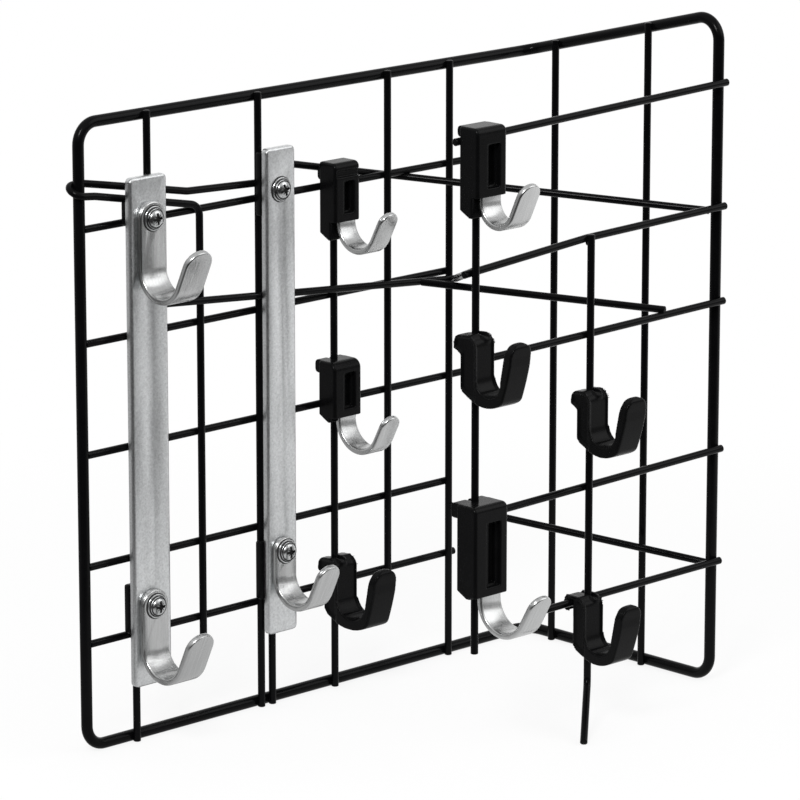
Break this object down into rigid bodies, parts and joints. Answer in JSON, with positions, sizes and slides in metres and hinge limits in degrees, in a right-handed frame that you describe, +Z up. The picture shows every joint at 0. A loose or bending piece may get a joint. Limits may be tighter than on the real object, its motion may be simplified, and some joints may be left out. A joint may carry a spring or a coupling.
{
  "type": "pegboard tool wall",
  "caption": "Free-standing wire grid rack with a side return and a front wing, carrying steel hook bars, clip-on hook holders and moulded hooks that slide on the wires.",
  "frame": {"origin": "on the floor under the axis of the left upright of the back panel", "axes": "+Z up, +X to the right along the back panel, the hooks point to -Y"},
  "size_m": [0.3858, 0.2331, 0.4216],
  "materials": {
    "wire": "gloss black coating on steel wire",
    "bar_steel": "satin zinc plate",
    "hook_steel": "bright zinc plate",
    "screw_steel": "zinc plate",
    "plastic": "satin black moulded plastic"
  },
  "bodies": {
    "rack": {"bar_hook_left_lower": "hook_steel", "bar_hook_left_upper": "hook_steel", "bar_hook_right": "hook_steel", "bar_left": "bar_steel", "bar_right": "bar_steel", "frame": "wire", "front_rail": "wire", "hanger": "wire", "loop_wire": "wire", "pad_left_lower": "plastic", "pad_left_upper": "plastic", "pad_right_lower": "plastic", "pad_right_upper": "plastic", "post_left": "wire", "post_right": "wire", "row_1": "wire", "row_2": "wire", "row_3": "wire", "row_4": "wire", "row_5": "wire", "screw_left_lower": "screw_steel", "screw_left_upper": "screw_steel", "screw_right_lower": "screw_steel", "screw_right_upper": "screw_steel", "side_upright_1": "wire", "side_upright_2": "wire", "tie_left": "wire", "tie_low": "wire", "tie_middle": "wire", "tie_top": "wire", "upright_1": "wire", "upright_2": "wire", "upright_3": "wire", "upright_4": "wire", "wing_leg": "wire", "wing_post": "wire", "wing_row_1": "wire", "wing_row_2": "wire", "wing_row_3": "wire", "wing_row_4": "wire", "wing_row_5": "wire"},
    "clip_1": {"holder_1": "plastic", "clip_hook_1": "hook_steel"},
    "hook_1": {"plastic_hook_1": "plastic"},
    "clip_2": {"holder_2": "plastic", "clip_hook_2": "hook_steel"},
    "hook_2": {"plastic_hook_2": "plastic"},
    "clip_3": {"holder_3": "plastic", "clip_hook_3": "hook_steel"},
    "hook_3": {"plastic_hook_3": "plastic"},
    "clip_4": {"holder_4": "plastic", "clip_hook_4": "hook_steel"},
    "hook_4": {"plastic_hook_4": "plastic"}
  },
  "joints": [
    {"name": "clip_1_slide", "type": "slide", "parent": "rack", "child": "clip_1", "axis": [0, 0, 1], "range_m": [0, 0.022]},
    {"name": "clip_2_slide", "type": "slide", "parent": "rack", "child": "clip_2", "axis": [0, 0, 1], "range_m": [0, 0.022]},
    {"name": "clip_3_slide", "type": "slide", "parent": "rack", "child": "clip_3", "axis": [0, 0, 1], "range_m": [-0.015, 0.036]},
    {"name": "clip_4_slide", "type": "slide", "parent": "rack", "child": "clip_4", "axis": [0, 0, 1], "range_m": [0, 0.04]},
    {"name": "hook_1_slide", "type": "slide", "parent": "rack", "child": "hook_1", "axis": [0, 0, 1], "range_m": [-0.0036, 0.026]},
    {"name": "hook_2_slide", "type": "slide", "parent": "rack", "child": "hook_2", "axis": [0, 0, 1], "range_m": [-0.005, 0.028]},
    {"name": "hook_3_slide", "type": "slide", "parent": "rack", "child": "hook_3", "axis": [0, 0, 1], "range_m": [-0.035, 0.0295]},
    {"name": "hook_4_slide", "type": "slide", "parent": "rack", "child": "hook_4", "axis": [0, 0, 1], "range_m": [0, 0.03]}
  ]
}
